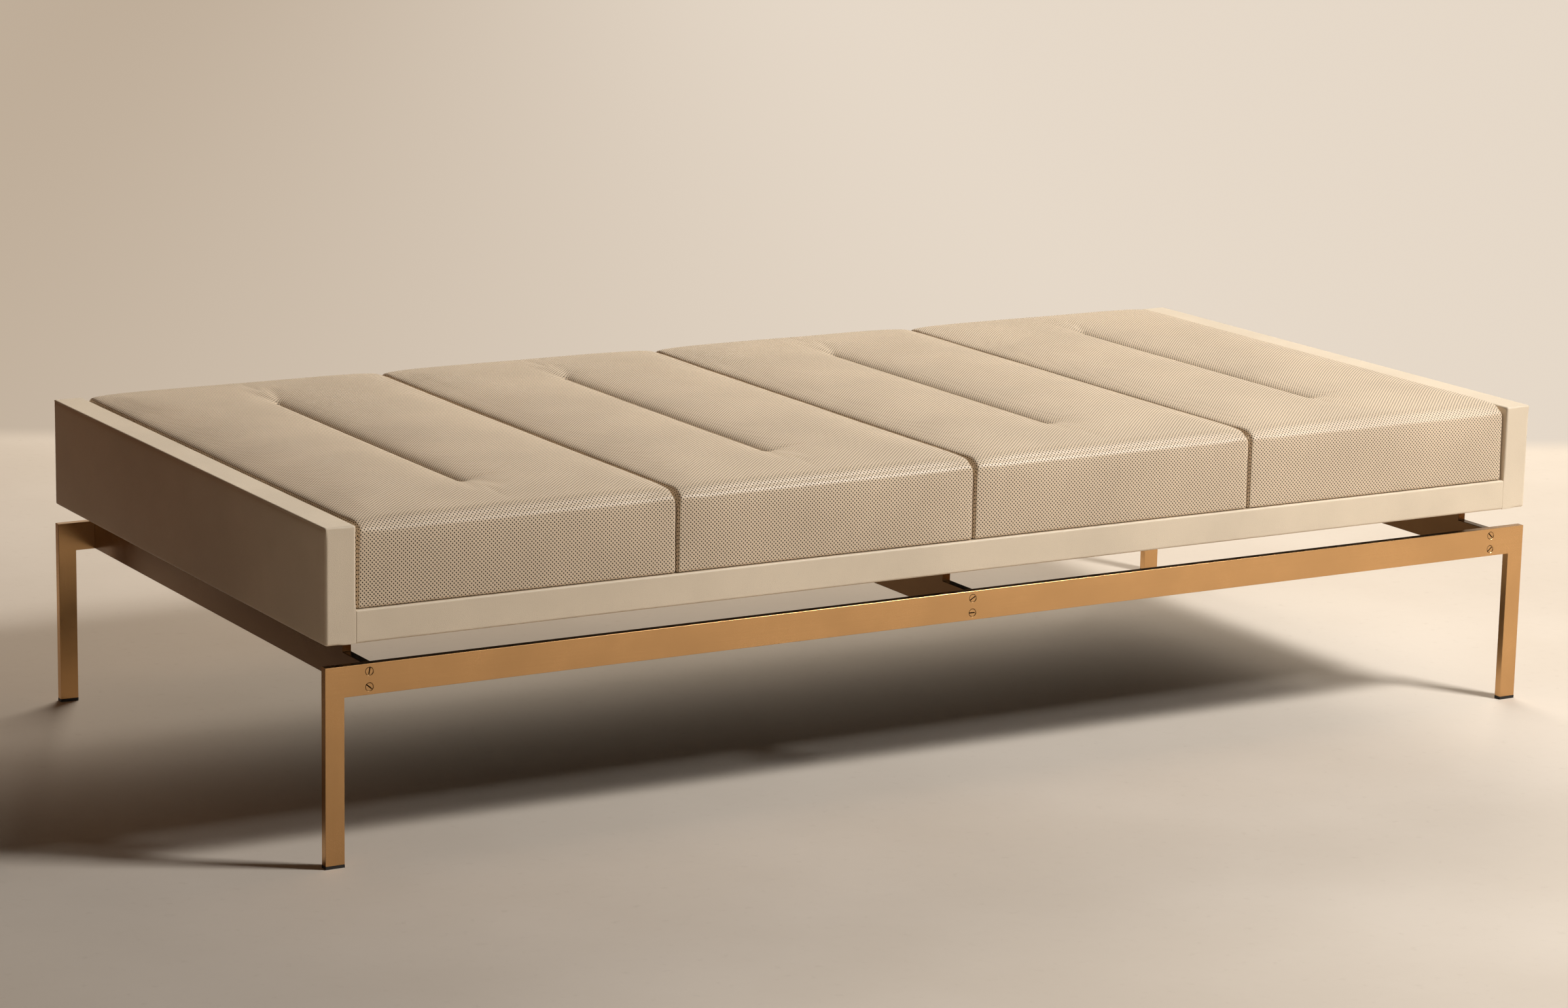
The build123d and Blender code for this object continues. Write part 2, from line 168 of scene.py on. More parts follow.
def leather(name, colour, perforated):
    """Satin leather with a fine pebbled grain; the perforated hide has round holes in diagonal rows."""
    made = Finish(name, specular=leather_sheen)
    space = made.place.outputs["Object"]
    clouds = made.noise(space, scale=7.0, detail=4.0)
    pores = made.noise(space, scale=900.0)
    pebbles = made.cells(space, scale=620.0)
    tone = made.blend(made.ramp(clouds, 0.3, 0.7), shade(colour, 0.94), shade(colour, 1.04))
    tone = made.blend(made.ramp(pebbles, 0.0, 0.12, 0.18, 0.0), tone, shade(colour, 0.72))
    gloss = made.ramp(pores, 0.25, 0.75, 0.34, 0.48)
    grain = made.bump(made.ramp(pebbles, 0.0, 0.25), 0.08 * mm, 0.6)
    grain = made.bump(pores, 0.05 * mm, 0.5, grain)
    if perforated:
        across, along, _ = made.axes(made.place.outputs["UV"])
        diagonal = hole_pitch * math.sqrt(2.0)
        rows = []
        for operation in ("ADD", "SUBTRACT"):
            row = made.math("DIVIDE", made.math(operation, across, along), diagonal)
            rows.append(made.math("SUBTRACT", made.math("FRACT", row), 0.5))
        away = made.length(rows[0], rows[1])
        edge = hole_radius / hole_pitch
        hole = made.ramp(away, 0.9 * edge, 1.1 * edge, 1.0, 0.0)
        rim = made.ramp(away, 0.8 * edge, 1.6 * edge)
        # Painted shade inside the holes.
        tone = made.blend(hole, tone, hole_shade_colour)
        gloss = made.math("MAXIMUM", gloss, made.math("MULTIPLY", hole, 0.9))
        grain = made.bump(rim, 0.3 * mm, 0.6, grain)
        sheen = made.math("MULTIPLY", made.math("SUBTRACT", 1.0, hole), leather_sheen)
        made.links.new(sheen, made.shader.inputs["Specular IOR Level"])
    return made.finish(tone, gloss, grain)


bar_colour = (0.6, 0.355, 0.16)
# Painted shade: the cross plates are the same bronze as the bars, darkened for their place under the tray.
plate_shade_colour = (0.19, 0.105, 0.045)
# Painted shade in the screws' slots and round the rims of their countersinks.
screw_shade_colour = (0.012, 0.007, 0.004, 1.0)
grain_along = 9.0
grain_across = 900.0
rail_height = 40 * mm
head_radius = 5.5 * mm


def bronze(name, colour, rail_underside=None):
    """Satin bronze with a fine grain along each bar: X in rails, Z in legs; Y if no rail is given."""
    made = Finish(name, metallic=1.0)
    space = made.place.outputs["Object"]
    if rail_underside is None:
        grain = made.noise(made.stretched(grain_across, grain_along, grain_across), 1.0, 3.0)
    else:
        along_rail = made.noise(made.stretched(grain_along, grain_across, grain_across), 1.0, 3.0)
        along_leg = made.noise(made.stretched(grain_across, grain_across, grain_along), 1.0, 3.0)
        above = made.ramp(made.axes(space)[2], rail_underside - 1 * mm, rail_underside + 1 * mm)
        in_rail = made.math("MULTIPLY", along_rail, above)
        in_leg = made.math("MULTIPLY", along_leg, made.math("SUBTRACT", 1.0, above))
        grain = made.math("ADD", in_rail, in_leg)
    clouds = made.noise(space, 11.0, 4.0)
    speckle = made.noise(space, 1300.0)
    tone = made.blend(made.ramp(clouds, 0.3, 0.7), shade(colour, 0.93), shade(colour, 1.04))
    tone = made.blend(made.ramp(grain, 0.35, 0.75, 0.0, 0.22), tone, shade(colour, 0.86))
    dulling = made.ramp(clouds, 0.3, 0.7, 0.0, 0.03)
    gloss = made.math("ADD", made.ramp(speckle, 0.2, 0.8, 0.19, 0.26), dulling)
    skin = made.bump(grain, 0.03 * mm, 0.5)
    skin = made.bump(speckle, 0.03 * mm, 0.5, skin)
    return made.finish(tone, gloss, skin)


def plain_metal(name, colour, low_gloss, high_gloss):
    """Turned metal of small fixings."""
    made = Finish(name, metallic=1.0)
    space = made.place.outputs["Object"]
    speckle = made.noise(space, 1600.0, 3.0)
    clouds = made.noise(space, 160.0, 3.0)
    tone = made.blend(made.ramp(clouds, 0.3, 0.7), shade(colour, 0.8), shade(colour, 1.05))
    gloss = made.ramp(speckle, 0.2, 0.8, low_gloss, high_gloss)
    return made.finish(tone, gloss, made.bump(speckle, 0.04 * mm, 0.5))


def slotted_heads(name):
    """Bronze screw heads with painted shade in their slots and round their rims."""
    screws_low, screws_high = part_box("front_frame_screws")
    head_face = -screws_low[1]
    low_axis = screws_low[2] + head_radius
    high_axis = screws_high[2] - head_radius
    end_axis = screws_high[0] - head_radius
    made = Finish(name, metallic=1.0)
    space = made.place.outputs["Object"]
    speckle = made.noise(space, 1600.0, 3.0)
    x, y, z = made.axes(space)
    sideways = made.math("ABSOLUTE", x)
    outward = made.math("ABSOLUTE", y)
    across = made.math("MINIMUM", sideways, made.gap(sideways, end_axis))
    up = made.math("MINIMUM", made.gap(z, low_axis), made.gap(z, high_axis))
    away = made.length(across, up)
    # Painted shade: darker below the head's face, in the slots, and in a ring round each rim.
    in_slot = made.ramp(outward, head_face - 0.4 * mm, head_face - 0.1 * mm, 1.0, 0.0)
    at_rim = made.ramp(away, 0.78 * head_radius, 0.95 * head_radius, 0.0, 0.85)
    screw_shade = made.math("MAXIMUM", in_slot, at_rim)
    tone = made.blend(made.ramp(speckle, 0.3, 0.7), shade(bar_colour, 0.9), shade(bar_colour, 1.05))
    tone = made.blend(screw_shade, tone, screw_shade_colour)
    dulling = made.math("MULTIPLY", screw_shade, 0.9)
    gloss = made.math("MAXIMUM", made.ramp(speckle, 0.2, 0.8, 0.2, 0.28), dulling)
    return made.finish(tone, gloss, made.bump(speckle, 0.04 * mm, 0.5))


def moulded(name, colour):
    """Moulded plastic with a fine spark-eroded skin."""
    made = Finish(name, specular=0.4)
    space = made.place.outputs["Object"]
    speckle = made.noise(space, 1500.0, 3.0)
    clouds = made.noise(space, 60.0, 3.0)
    tone = made.blend(made.ramp(clouds, 0.3, 0.7), shade(colour, 0.8), shade(colour, 1.3))
    gloss = made.ramp(speckle, 0.2, 0.8, 0.45, 0.65)
    return made.finish(tone, gloss, made.bump(speckle, 0.06 * mm, 0.6))


def timber(name, pale, dark, grain_scale):
    """Wood with long grain along X and short dark pores."""
    made = Finish(name, specular=0.3)
    grain = made.noise(made.stretched(0.6 * grain_scale, 12.0 * grain_scale, 12.0 * grain_scale), 1.0, 4.0)
    pores = made.noise(made.stretched(40.0, 900.0, 900.0), 1.0, 2.0)
    tone = made.blend(made.ramp(grain, 0.3, 0.7), shade(pale, 1.0), shade(dark, 1.0))
    tone = made.blend(made.ramp(pores, 0.58, 0.72, 0.0, 0.5), tone, shade(dark, 0.6))
    gloss = made.ramp(grain, 0.2, 0.8, 0.55, 0.7)
    return made.finish(tone, gloss, made.bump(pores, 0.06 * mm, 0.6))


def woven(name, colour, thread):
    """Plain woven cloth: two sets of threads that pass over and under each other."""
    made = Finish(name, specular=0.2)
    space = made.place.outputs["Object"]
    parts = made.axes(space)
    turn = math.pi / thread
    threads = [made.math("SINE", made.math("MULTIPLY", parts[axis], turn)) for axis in (0, 1)]
    weave = made.math("MULTIPLY", threads[0], threads[1])
    fuzz = made.noise(space, 700.0, 3.0)
    tone = made.blend(made.ramp(weave, -0.8, 0.8), shade(colour, 0.7), shade(colour, 1.15))
    tone = made.blend(made.ramp(fuzz, 0.45, 0.75, 0.0, 0.4), tone, shade(colour, 1.5))
    gloss = made.ramp(fuzz, 0.2, 0.8, 0.8, 0.95)
    return made.finish(tone, gloss, made.bump(weave, 0.2 * mm, 0.6))


plate_places = ("left", "middle", "right")
rail_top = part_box("front_side_frame")[1][2]
finishes = {
    "bronze_metal": bronze("bronze_bars", bar_colour, rail_top - rail_height),
    "bronze_screws": slotted_heads("bronze_screw_heads"),
    "black_glide": moulded("black_pads", (0.015, 0.014, 0.013)),
    "steel_fixings": plain_metal("bright_steel", (0.62, 0.62, 0.61), 0.25, 0.4),
    "plywood": timber("birch_plywood", (0.74, 0.58, 0.38), (0.58, 0.41, 0.24), 3.0),
    "beech": timber("beech_dowels", (0.72, 0.5, 0.32), (0.56, 0.35, 0.2), 6.0),
    "smooth_leather": leather("cream_leather", leather_colour, perforated=False),
    "perforated_leather": leather("perforated_leather", perforated_colour, perforated=True),
    "foam": woven("cream_foam", (0.8, 0.76, 0.62), 2.5 * mm),
    "webbing": woven("pale_webbing", (0.75, 0.7, 0.6), 1.6 * mm),
    "lining_cloth": woven("black_lining", (0.03, 0.029, 0.028), 0.9 * mm),
    "dust_cloth": woven("black_dust_cloth", (0.022, 0.021, 0.02), 1.1 * mm),
    "touch_fastener": woven("black_fastener", (0.02, 0.02, 0.02), 1.3 * mm),
}
for part in frame["record"]["subparts"]:
    node = frame["nodes"][part["node"]]
    node.material_slots[0].material = finishes[part["material_slot"]]
# The cross plates get a darker copy of the bars' bronze as painted shade.
shaded_plate_bronze = bronze("shaded_bronze_plates", plate_shade_colour)
for place in plate_places:
    frame["nodes"][f"{place}_cross_plate"].material_slots[0].material = shaded_plate_bronze


# Mesh helpers: the skin of a divided box, and its rounding

def mirrored(half):
    """Lines on both sides of zero, from zero and the lines on one side."""
    half = np.asarray(half)
    return np.concatenate([-half[:0:-1], half])


def run(*ends_and_counts):
    """Lines along one axis: start, then pairs of an end and the number of steps to it."""
    lines = [ends_and_counts[0]]
    for end, count in zip(ends_and_counts[1::2], ends_and_counts[2::2]):
        lines.extend(np.linspace(lines[-1], end, count + 1)[1:])
    return np.array(lines)


def box_skin(xs, ys, zs):
    """Points, their line numbers, outward quads and each quad's side, for a box divided by lines."""
    counts = (len(xs), len(ys), len(zs))
    grid = np.stack(np.meshgrid(xs, ys, zs, indexing="ij"), axis=-1)
    lines = np.stack(np.meshgrid(*map(np.arange, counts), indexing="ij"), axis=-1)
    on_skin = ((lines == 0) | (lines == np.array(counts) - 1)).any(axis=-1)
    numbers = np.full(counts, -1)
    numbers[on_skin] = np.arange(on_skin.sum())
    quads = []
    sides = []
    for axis in range(3):
        for end in (0, -1):
            face = numbers.take(end, axis=axis)
            corners = [face[:-1, :-1], face[1:, :-1], face[1:, 1:], face[:-1, 1:]]
            loops = np.stack(corners, axis=-1).reshape(-1, 4)
            turned = (end == 0) != (axis == 1)
            quads.append(loops[:, ::-1] if turned else loops)
            sides.append(np.full(len(loops), 2 * axis - end))
    return grid[on_skin], lines[on_skin], np.concatenate(quads), np.concatenate(sides)


def rounded(points, low, high, radius):
    """Rounds the edges of a sharp box's skin; radius is given for each point and axis."""
    inner = np.clip(points, low + radius, high - radius)
    reach = (points - inner) / radius
    length = np.linalg.norm(reach, axis=1, keepdims=True)
    most = np.abs(reach).max(axis=1, keepdims=True)
    return inner + radius * reach * most / np.maximum(length, 1e-9)


def soft_step(value, start, end):
    """From 0 at start to 1 at end, smooth at both."""
    part = np.clip((value - start) / (end - start), 0.0, 1.0)
    return part * part * (3.0 - 2.0 * part)


def mixed(start, end, part):
    """From start where part is 0 to end where it is 1."""
    return start + (end - start) * part


def ripples(points, wavelength, seed):
    """Smooth noise from -1 to 1 at each point; wavelength is given per axis."""
    stretched = points / np.asarray(wavelength) + seed * 17.3
    return np.array([noise.noise(Vector(place)) for place in stretched])


def mesh_piece(name, points, quads, material, uv=None):
    """A smooth-shaded object from points and quads."""
    mesh = bpy.data.meshes.new(name)
    mesh.from_pydata(points.tolist(), [], quads.tolist())
    mesh.materials.append(material)
    mesh.polygons.foreach_set("use_smooth", np.ones(len(quads), dtype=bool))
    if uv is not None:
        layer = mesh.uv_layers.new(name="pattern")
        layer.data.foreach_set("uv", uv.reshape(-1))
    mesh.validate()
    piece = bpy.data.objects.new(name, mesh)
    scene.collection.objects.link(piece)
    return piece


def subdivide(piece):
    """One smoothing subdivision, in the view and in the render alike."""
    modifier = piece.modifiers.new("smooth", "SUBSURF")
    modifier.levels = 1
    modifier.render_levels = 1


# Leather-covered panels of the tray

panel_edge = 3 * mm
outer_edge = 4.5 * mm
top_edge = 1.8 * mm
joint_edge = 0.12 * mm
seam_drop = 3 * mm
seam_half_width = 0.9 * mm
seam_depth = 2.4 * mm
top_blend = 12 * mm
joint_margin = 4 * mm
end_joint_reach = 25 * mm
base_joint_reach = 60 * mm
panel_unevenness = 0.15 * mm
pull_depth = 0.3 * mm
pull_reach = 60 * mm
access_radius = 11 * mm
access_spacing = 300 * mm
access_places = [(0.0, step * access_spacing) for step in (-1, 0, 1)]
access_patch = access_radius * np.array([0.4, 0.8, 1.5])
access_wall = 2 * mm
strip_stand = 0.35 * mm


def panel_edges(low, high, steps_between):
    """Lines across a panel, close together near both edges."""
    return run(low, low + outer_edge, 6, high - outer_edge, steps_between, high, 6)


def end_panel(name, out):
    """A raised end; out is -1 for the left end and 1 for the right one."""
    low, high = (np.array(corner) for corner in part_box(f"{name}_end_cover"))
    base_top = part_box("base_cover")[1][2]
    xs = panel_edges(low[0], high[0], 5)
    ys = panel_edges(low[1], high[1], 70)
    seam = high[2] - seam_drop
    zs = run(low[2], low[2] + panel_edge, 4, base_top, 4, seam - seam_half_width, 11,
             seam + seam_half_width, 2, high[2] - 0.9 * top_edge, 1, high[2], 3)
    points, lines, quads, _ = box_skin(xs, ys, zs)
    facing_in = (points[:, 0] - (low[0] + high[0]) / 2) * out < 0
    against_base = facing_in & (points[:, 2] < base_top + joint_margin)
    near_top = soft_step(points[:, 2], high[2] - top_blend, high[2] - seam_drop)
    radius = np.full(points.shape, panel_edge)
    radius[~facing_in, 0] = mixed(outer_edge, top_edge, near_top)[~facing_in]
    radius[~facing_in, 1] = mixed(outer_edge, panel_edge, near_top)[~facing_in]
    radius[~facing_in, 2] = mixed(panel_edge, top_edge, near_top)[~facing_in]
    radius[against_base] = joint_edge
    on_outer_face = lines[:, 0] == (len(xs) - 1 if out > 0 else 0)
    on_seam = on_outer_face & np.isclose(points[:, 2], seam)
    placed = rounded(points, low, high, radius)
    placed[on_seam, 0] -= out * seam_depth
    wave = ripples(placed, (90 * mm, 120 * mm, 70 * mm), out)
    pulls = ripples(placed, (11 * mm, 40 * mm, 160 * mm), out + 5)
    ends = soft_step(np.abs(placed[:, 1]), high[1] - pull_reach, high[1])
    inward = np.sign((low + high) / 2 - placed)
    inward[:, 0] *= ~facing_in
    joint = low[0] if out > 0 else high[0]
    from_joint = soft_step(np.abs(placed[:, 0] - joint), 0.0, end_joint_reach)
    unevenness = panel_unevenness * (1 + wave) + pull_depth * ends * (1 + pulls)
    placed += inward * (from_joint * unevenness)[:, None] * (1, 1, 0)
    piece = mesh_piece(f"{name}_end_leather", placed, quads, finishes["smooth_leather"])
    subdivide(piece)
    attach(piece, "base")
    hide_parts(f"{name}_end_cover")


def with_access_holes(points, quads, on_top):
    """Cuts the round holes over the washers: drops the quads inside, rounds the border and turns it down."""
    opening = access_patch[1]
    for centre in access_places:
        away = points[:, :2] - centre
        square = np.abs(away).max(axis=1)
        inside = on_top & (square < opening + 0.01 * mm)
        rim = np.flatnonzero(inside & (square > opening - 0.01 * mm))
        rim = rim[np.argsort(np.arctan2(away[rim, 1], away[rim, 0]))]
        points[rim, :2] = centre + away[rim] * (access_radius / np.linalg.norm(away[rim], axis=1))[:, None]
        lower = len(points) + np.arange(len(rim))
        wall = np.stack([rim, lower, np.roll(lower, -1), np.roll(rim, -1)], axis=1)
        points = np.concatenate([points, points[rim] - (0.0, 0.0, access_wall)])
        quads = np.concatenate([quads[~inside[quads].all(axis=1)], wall])
        on_top = np.concatenate([on_top, np.zeros(len(rim), dtype=bool)])
    used, numbered = np.unique(quads, return_inverse=True)
    return points[used], numbered.reshape(quads.shape)


def base_panel():
    """The long flat panel that the cushions lie on, with its top just under the tops of the hook strips."""
    low, high = (np.array(corner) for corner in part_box("base_cover"))
    patch = access_patch
    hole_y = access_spacing
    xs = mirrored(run(0.0, patch[0], 1, patch[1], 1, patch[2], 1, high[0] - 2 * joint_edge, 64, high[0], 2))
    ys = mirrored(run(0.0, patch[0], 1, patch[1], 1, patch[2], 1, hole_y - patch[2], 18,
                      hole_y - patch[1], 1, hole_y, 2, hole_y + patch[1], 2, hole_y + patch[2], 1,
                      high[1] - panel_edge, 9, high[1], 4))
    zs = panel_edges(low[2], high[2], 4)
    points, lines, quads, _ = box_skin(xs, ys, zs)
    radius = np.full(points.shape, panel_edge)
    radius[:, 0] = joint_edge
    placed = rounded(points, low, high, radius)
    wave = ripples(placed, (140 * mm, 90 * mm, 60 * mm), 3)
    inward = np.sign((low + high) / 2 - placed)
    from_joint = soft_step(high[0] - np.abs(placed[:, 0]), 0.0, base_joint_reach)
    placed += inward * (panel_unevenness * from_joint * (1 + wave))[:, None] * (0, 1, 1)
    on_top = lines[:, 2] == len(zs) - 1
    placed[on_top, 2] -= strip_stand
    placed, quads = with_access_holes(placed, quads, on_top)
    piece = mesh_piece("base_leather", placed, quads, finishes["smooth_leather"])
    subdivide(piece)
    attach(piece, "base")
    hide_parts("base_cover")


for end_name, end_side in (("left", -1), ("right", 1)):
    end_panel(end_name, end_side)
base_panel()


# Cushions: a sewn cover over foam, drawn down along a channel

cushion_names = ("left", "inner_left", "inner_right", "right")
cushion_ends = (-1, 0, 0, 1)
cushion_low, cushion_high = (np.array(corner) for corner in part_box("left_cushion_cover"))
half_width, half_depth = (cushion_high - cushion_low)[:2] / 2
edge_height = 110 * mm
end_crown = 5 * mm
middle_crown = 7.5 * mm
end_sag = 2 * mm
middle_sag = 4 * mm
swell_frames = 20
most_swelling = 3.5 * mm
least_swelling = 1 * mm
swell_side_fade = 40 * mm
swell_front_fade = 90 * mm
end_roll = 4 * mm
middle_roll = 9 * mm
roll_reach = 13 * mm
tuck_reach = 3.5 * mm
tuck_share = 0.4
front_round = 22 * mm
front_roll = 4 * mm
front_roll_reach = 26 * mm
side_round = 3 * mm
corner_top_round = 6 * mm
corner_height_round = 13 * mm
corner_round = 3.5 * mm
corner_roll = 1 * mm
corner_roll_reach = 7 * mm
corner_gap = 2.8 * mm
corner_gap_reach = 30 * mm
corner_gap_below = 0.7
corner_blend = 50 * mm
front_blend = 60 * mm
lower_round = 4 * mm
draw_in = 0.3 * mm
lean_turn = 0.65 * math.pi
front_bulge = 2 * mm
channel_half_length = 290 * mm
boxing_top = 97 * mm
seam_groove = 0.9 * mm
corner_groove = 1.2 * mm
seam_step = 1.5 * mm
opening_margin = 1 * mm
opening_rise = 2.5 * mm
broad_unevenness = 0.35 * mm
fine_unevenness = 0.12 * mm
side_room = 0.1 * mm
opening_low, opening_high = (np.array(corner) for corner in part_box("left_cushion_lining"))
opening_half_width, opening_half_depth = (opening_high - opening_low)[:2] / 2

# Creases at the channel's ends, 1 for the back and -1 for the front: end, degrees from +X, way of sway,
# length, depth and half breadth
channel_creases = (
    (1, 68, 1, 95 * mm, 0.8 * mm, 9 * mm),
    (1, 116, -1, 60 * mm, 0.6 * mm, 7 * mm),
    (-1, -6, 1, 62 * mm, 1.6 * mm, 6 * mm),
    (-1, -105, -1, 45 * mm, 0.4 * mm, 7 * mm),
)
most_sway = 0.12


def cushion_lines():
    """Lines across, along and up a cushion, closer together at the channel, the seams and the edges."""
    across = run(0.0, 0.8 * mm, 1, 2.5 * mm, 1, 11 * mm, 3, 28 * mm, 4, 55 * mm, 4,
                 opening_half_width - 2 * mm, 11, opening_half_width, 1, half_width - 20 * mm, 3,
                 half_width - 8 * mm, 3, half_width - seam_step, 4, half_width, 1)
    along = run(0.0, channel_half_length - 40 * mm, 24, channel_half_length + 35 * mm, 17,
                opening_half_depth - 2 * mm, 8, opening_half_depth, 1, half_depth - front_round, 3,
                half_depth - seam_step, 7, half_depth, 1)
    zs = run(0.0, lower_round, 3, boxing_top - seam_step, 8, boxing_top, 1, boxing_top + seam_step, 1,
             edge_height, 6)
    return mirrored(across), mirrored(along), zs


def pillow_drop(away, sag, roll):
    """How far a pillow lies below its crest, by the distance from the seam that holds it down."""
    drop = sag * np.clip(1 - away / (half_width / 2), 0.0, 1.0) ** 2
    drop += (1 - tuck_share) * roll * np.exp(-away / roll_reach)
    return drop + tuck_share * roll * np.exp(-away / tuck_reach)


def near_front(y):
    """From 0 along the sides to 1 where the rounding of the front or the back starts."""
    return soft_step(np.abs(y), half_depth - front_blend, half_depth - front_round)


def edge_height_round(x, y):
    """How far down the top edge's rounding reaches: little at the sides, most in the middle of the front."""
    front = mixed(corner_height_round, front_round, soft_step(half_width - np.abs(x), 0.0, corner_blend))
    side = mixed(side_round, corner_height_round, near_front(y))
    return np.where(np.abs(y) > half_depth - front_round, front, side)


def cushion_shape(sharp, with_channel=True):
    """Places of the skin's points in the sewn cover, from their places on a sharp box."""
    x, y, z = sharp.T
    up = soft_step(z, 0.8 * edge_height, edge_height)
    radius = np.stack([
        mixed(corner_round, mixed(side_round, corner_top_round, near_front(y)), up),
        mixed(corner_round, front_round, up),
        np.where(z > edge_height / 2, edge_height_round(x, y), lower_round),
    ], axis=1)
    high = np.array([half_width, half_depth, edge_height])
    placed = rounded(sharp, high * (-1, -1, 0), high, radius)
    middle = 1 - (np.abs(y) / half_depth) ** 3
    sag = mixed(end_sag, middle_sag, middle)
    roll = mixed(end_roll, middle_roll, middle)
    rise = mixed(end_crown, middle_crown, middle) - pillow_drop(half_width - np.abs(x), sag, roll)
    rise -= front_roll * np.exp(-(half_depth - np.abs(y)) / front_roll_reach)
    if with_channel:
        past_end = np.maximum(np.abs(y) - channel_half_length, 0.0)
        rise -= pillow_drop(np.hypot(x, past_end), sag, roll)
    height = placed[:, 2] + rise * (z / edge_height) ** 4
    belly = np.sin(math.pi * z / edge_height)
    lean = np.sin(lean_turn * z / edge_height)
    placed[:, 0] -= np.sign(x) * draw_in * lean * (np.abs(x) / half_width) ** 8
    bulge = front_bulge * (1 - (x / half_width) ** 4)
    bulge -= corner_roll * np.exp(-(half_width - np.abs(x)) / corner_roll_reach)
    placed[:, 1] += np.sign(y) * bulge * belly * (np.abs(y) / half_depth) ** 16
    placed[:, 2] = height
    return placed


def pattern(lines, quads, sides, shape, plain, counts):
    """Flat pattern coordinates of each quad's corners: a strip over front, top and back, and two boxings."""
    last = np.array(counts) - 1
    number = np.full(counts, -1)
    number[tuple(lines.T)] = np.arange(len(lines))
    seam_line = int(np.argmin(np.abs(cushion_lines()[2] - boxing_top)))
    strip = np.concatenate([number[:, 0, :].T, number[:, 1:last[1], last[2]].T, number[:, last[1], ::-1].T])
    middle = last[0] // 2
    across = np.linalg.norm(np.diff(shape[strip], axis=1), axis=2)
    flat = np.linalg.norm(np.diff(plain[strip], axis=1), axis=2)
    half_flat = flat[:, :middle].sum(axis=1, keepdims=True)
    zero = np.zeros((len(strip), 1))
    from_left = np.concatenate([zero, np.cumsum(across, axis=1)], axis=1) - half_flat
    from_right = half_flat - np.concatenate([zero, np.cumsum(across[:, ::-1], axis=1)], axis=1)[:, ::-1]
    quarter = last[0] // 4
    steps = np.linalg.norm(np.diff(plain[strip[:, quarter]], axis=0), axis=1)
    along = np.concatenate([[0.0], np.cumsum(steps)])
    strip_uv = np.zeros((2, len(lines), 2))
    strip_uv[0, strip, 0] = from_left
    strip_uv[1, strip, 0] = from_right
    strip_uv[:, strip, 1] = along[:, None]
    down = edge_height - shape[:, 2]
    on_side = (lines[:, 0] == 0) | (lines[:, 0] == last[0])
    off_ends = (lines[:, 1] > 0) & (lines[:, 1] < last[1])
    wraps = on_side & off_ends & (lines[:, 2] >= seam_line) & (lines[:, 2] < last[2])
    top_of_side = number[lines[wraps, 0], lines[wraps, 1], last[2]]
    outward = np.where(lines[wraps, 0] == 0, -1.0, 1.0)
    strip_uv[:, wraps] = strip_uv[:, top_of_side]
    strip_uv[:, wraps, 0] += outward * (down[wraps] - down[top_of_side])
    uv = np.zeros((len(quads), 4, 2))
    centre_line = lines[quads][:, :, 0].mean(axis=1)
    left_half = centre_line < middle
    uv[left_half] = strip_uv[0][quads[left_half]]
    uv[~left_half] = strip_uv[1][quads[~left_half]]
    boxing = (sides <= 1) & (lines[quads][:, :, 2].mean(axis=1) < seam_line)
    uv[boxing] = shape[quads[boxing]][:, :, 1:]
    below = sides == 4
    uv[below] = shape[quads[below]][:, :, :2]
    return uv


def swell(points, quads, held):
    """Blows the cover up against its seams by a short cloth simulation; held points stay."""
    trial = mesh_piece("swelling", points, quads, finishes["perforated_leather"])
    group = trial.vertex_groups.new(name="held")
    group.add(np.flatnonzero(held).tolist(), 1.0, "REPLACE")
    cloth = trial.modifiers.new("swell", "CLOTH")
    cloth.settings.quality = 6
    cloth.settings.tension_stiffness = 25
    cloth.settings.compression_stiffness = 25
    cloth.settings.bending_stiffness = 4
    cloth.settings.use_pressure = True
    cloth.settings.uniform_pressure_force = 4
    cloth.settings.vertex_group_mass = "held"
    cloth.settings.effector_weights.gravity = 0
    cloth.collision_settings.use_collision = False
    cloth.point_cache.frame_start = 1
    cloth.point_cache.frame_end = swell_frames
    for moment in range(1, swell_frames + 1):
        scene.frame_set(moment)
    result = trial.evaluated_get(bpy.context.evaluated_depsgraph_get()).to_mesh()
    moved = np.empty(3 * len(points))
    result.vertices.foreach_get("co", moved)
    scene.frame_set(1)
    mesh = trial.data
    bpy.data.objects.remove(trial)
    bpy.data.meshes.remove(mesh)
    return moved.reshape(-1, 3)


cushion_xs, cushion_ys, cushion_zs = cushion_lines()
line_counts = (len(cushion_xs), len(cushion_ys), len(cushion_zs))
sharp_points, point_lines, cushion_quads, quad_sides = box_skin(cushion_xs, cushion_ys, cushion_zs)
sewn_shape = cushion_shape(sharp_points)
plain_shape = cushion_shape(sharp_points, with_channel=False)
cushion_uv = pattern(point_lines, cushion_quads, quad_sides, sewn_shape, plain_shape, line_counts)
on_top = np.isclose(sharp_points[:, 2], edge_height)
on_channel = on_top & np.isclose(sharp_points[:, 0], 0.0)
on_channel &= np.abs(sharp_points[:, 1]) <= channel_half_length
on_sides = np.isclose(np.abs(sharp_points[:, 0]), half_width) & ~on_top
near_base = sharp_points[:, 2] < lower_round
swollen = sewn_shape
swollen = swell(sewn_shape, cushion_quads, on_channel | near_base)
swelling = swollen - sewn_shape
swelling *= most_swelling / max(swelling[:, 2].max(), least_swelling)
swelling *= soft_step(half_width - np.abs(sharp_points[:, 0]), 0.0, swell_side_fade)[:, None]
swelling *= soft_step(half_depth - np.abs(sharp_points[:, 1]), 0.0, swell_front_fade)[:, None]


